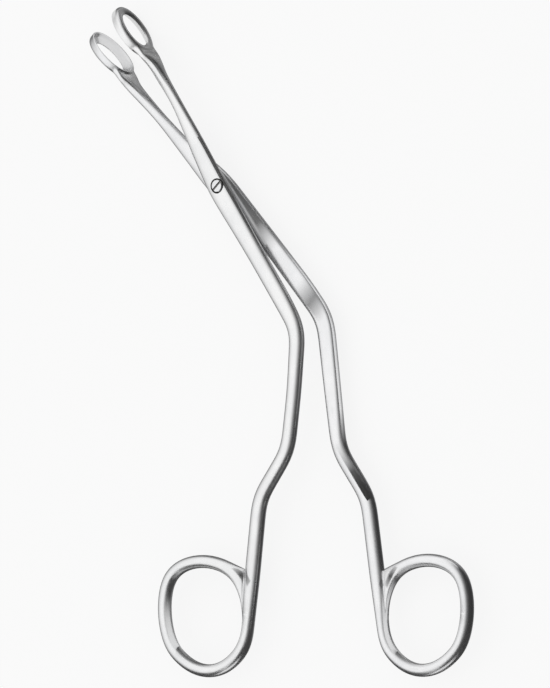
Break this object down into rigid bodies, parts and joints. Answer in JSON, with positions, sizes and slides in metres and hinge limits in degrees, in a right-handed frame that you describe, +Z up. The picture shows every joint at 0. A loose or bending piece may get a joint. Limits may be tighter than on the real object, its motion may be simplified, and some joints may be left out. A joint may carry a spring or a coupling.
{
  "type": "septum compression forceps",
  "caption": "Angled steel forceps that press the nasal septum between hollow oval cups: crossed limbs on a slotted pivot screw, with bent shanks ending in finger rings.",
  "frame": {"origin": "bottom centre of the whole box, with the instrument lying flat", "axes": "+Z up along the pivot axis, +Y from the pivot to the jaw tips along the line that halves the jaw opening, +X across"},
  "size_m": [0.1082, 0.2178, 0.0117],
  "materials": {
    "upper_limb": "polished stainless steel with fine lengthwise polishing marks",
    "lower_limb": "polished stainless steel with fine lengthwise polishing marks",
    "pivot_screw": "turned stainless steel, faced head with round marks"
  },
  "bodies": {
    "lower_body": {"lower_limb": "lower_limb", "pivot_screw": "pivot_screw"},
    "upper_body": {"upper_limb": "upper_limb"}
  },
  "joints": [
    {"name": "jaw_pivot", "type": "hinge", "parent": "lower_body", "child": "upper_body", "pos_m": [0.04718, 0.04638, 0.00585], "axis": [0, 0, 1], "range_deg": [-20, 8]}
  ]
}
